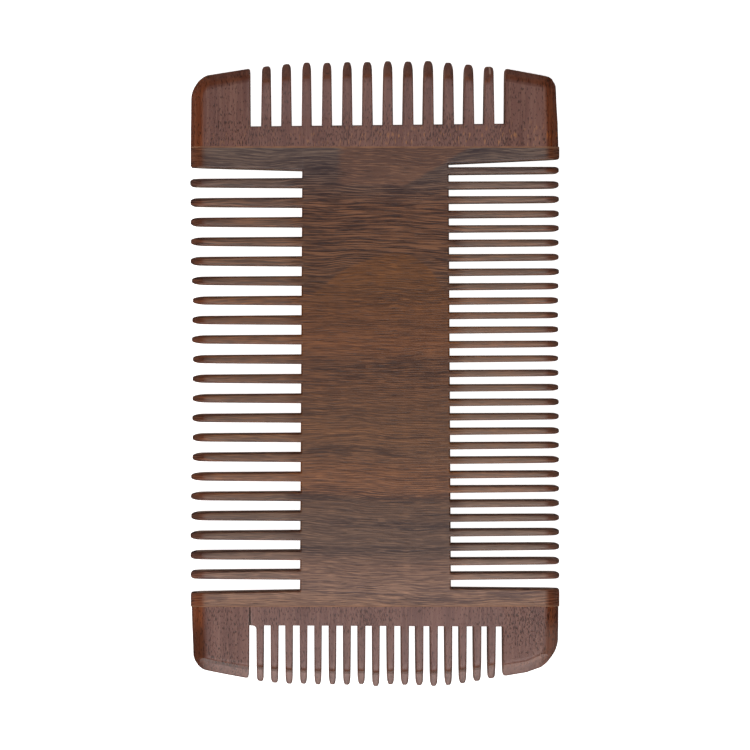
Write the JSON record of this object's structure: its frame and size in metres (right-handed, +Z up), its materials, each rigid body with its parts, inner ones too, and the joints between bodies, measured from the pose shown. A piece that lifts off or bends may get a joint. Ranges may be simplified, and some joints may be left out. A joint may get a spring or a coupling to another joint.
{
  "type": "beard comb",
  "caption": "Flat dark wooden pocket comb with coarse and fine teeth down its long edges and a short row in each end rail, glued up from a cross-grain board and tenoned rails.",
  "frame": {"origin": "centre of the flat face the comb lies on, at its height", "axes": "+X across the comb towards the fine side teeth, +Y along it towards the coarse end rail, +Z up through its thickness"},
  "size_m": [0.059, 0.1, 0.008],
  "materials": {
    "centre_wood": "dark brown hardwood, grain across the comb, hand-rubbed satin with glossier worn edges",
    "rail_wood": "the same hardwood with grain along the comb and open pores, hand-rubbed satin",
    "glue_line": "cured amber wood glue, sanded flush"
  },
  "bodies": {
    "root": {"centre_board": "centre_wood", "coarse_end_rail": "rail_wood", "fine_end_rail": "rail_wood", "coarse_glue_film": "glue_line", "fine_glue_film": "glue_line"}
  },
  "joints": []
}
